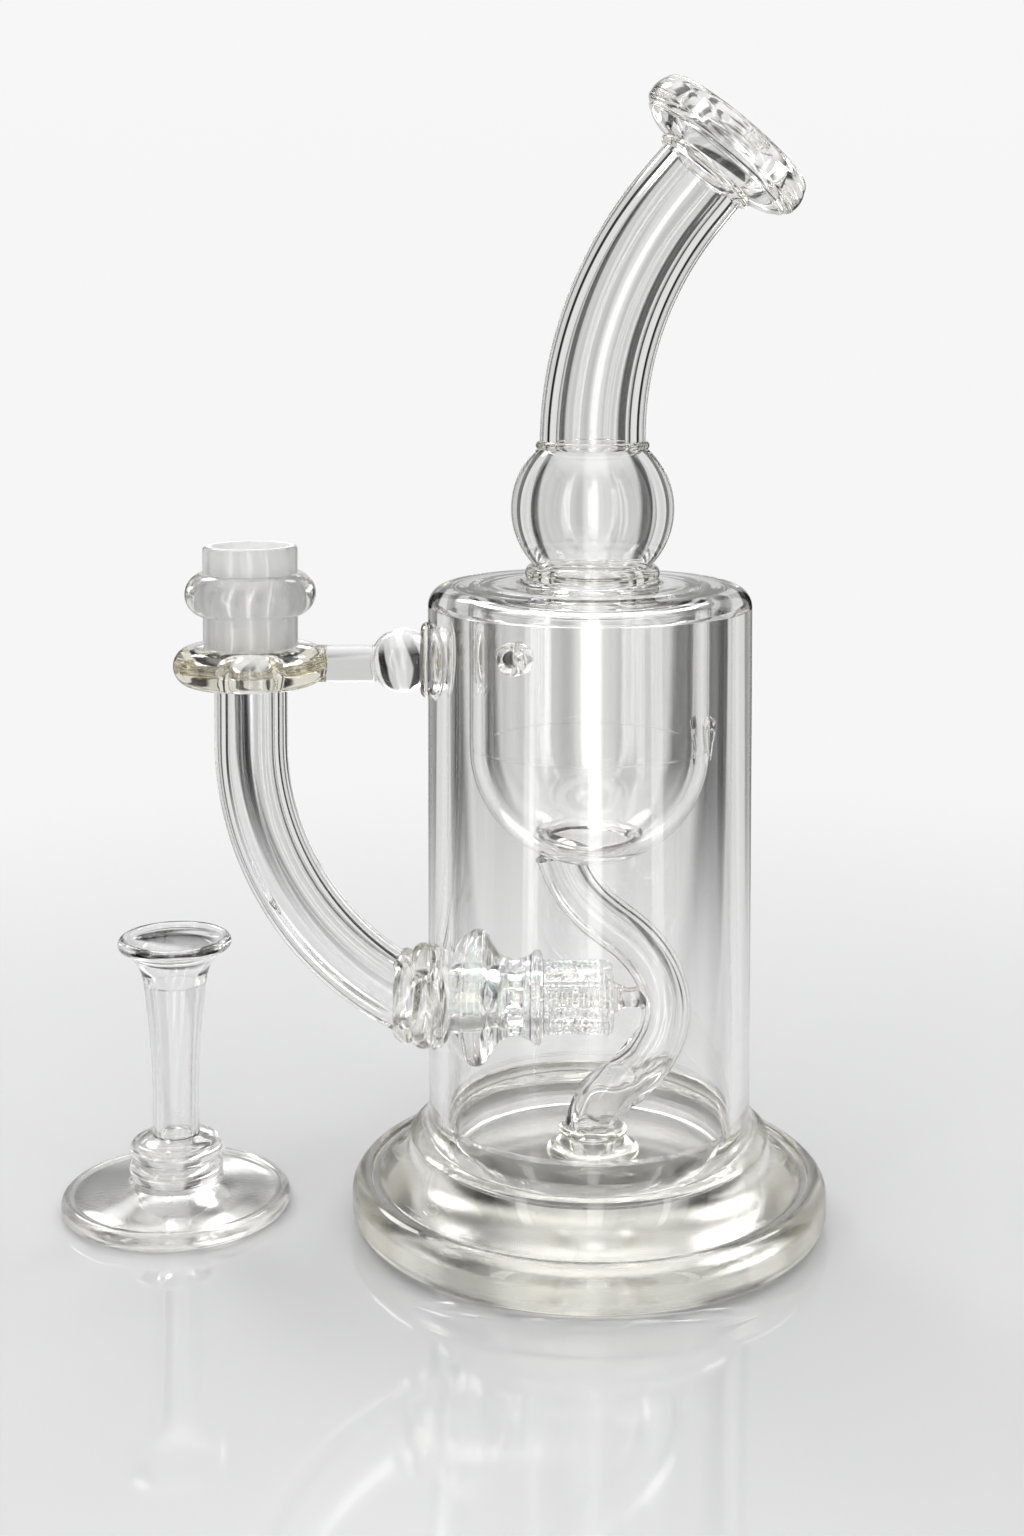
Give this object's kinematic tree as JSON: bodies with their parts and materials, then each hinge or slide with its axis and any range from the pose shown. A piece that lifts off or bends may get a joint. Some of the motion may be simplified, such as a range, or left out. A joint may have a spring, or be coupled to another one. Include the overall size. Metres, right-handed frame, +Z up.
{
  "type": "glass recycler vessel",
  "caption": "Clear glass recycler vessel with an S-bend drain inside its can, a side arm with a ground socket, a bent neck with a disc lip, and a loose funnel-mouthed glass.",
  "frame": {"origin": "centre of the foot's flat bottom face, on the can's axis", "axes": "+Z up along the can, +X the way the mouthpiece leans, socket joint at -X, +Y to the back"},
  "size_m": [0.1438, 0.0886, 0.2125],
  "materials": {
    "clear_glass": "polished",
    "weld_glass": "fire polished",
    "frosted_glass": "ground",
    "perc_glass": "cut",
    "loose_clear_glass": "polished"
  },
  "bodies": {
    "vessel": {"base_foot": "clear_glass", "base_flare": "weld_glass", "outer_can": "clear_glass", "can_shoulder": "clear_glass", "neck_weld_ring": "weld_glass", "neck_bulb": "clear_glass", "neck_seam_ring": "weld_glass", "neck_tube": "clear_glass", "mouthpiece_bead": "weld_glass", "mouthpiece_lip": "clear_glass", "inner_drum": "clear_glass", "drum_bowl": "clear_glass", "drum_drain_ring": "weld_glass", "drum_hole_lip": "weld_glass", "drum_slot_lip": "weld_glass", "s_bend_tube": "clear_glass", "drain_foot": "weld_glass", "perc_bell": "perc_glass", "perc_waist": "perc_glass", "perc_ring": "perc_glass", "perc_cap": "perc_glass", "perc_brace": "weld_glass", "downtube_arm": "clear_glass", "arm_weld_collar": "weld_glass", "joint_collar": "weld_glass", "joint_socket": "frosted_glass", "joint_ring": "clear_glass", "brace_rod": "clear_glass", "brace_ball": "clear_glass", "brace_weld_pad": "weld_glass"},
    "loose_glass": {"loose_foot": "loose_clear_glass", "loose_lower_bead": "loose_clear_glass", "loose_upper_bead": "loose_clear_glass", "loose_stem": "loose_clear_glass", "loose_funnel": "loose_clear_glass"}
  },
  "joints": [
    {"name": "loose_glass_slide", "type": "slide", "parent": "vessel", "child": "loose_glass", "axis": [-1, 0, 0], "range_m": [0, 0.06]}
  ]
}
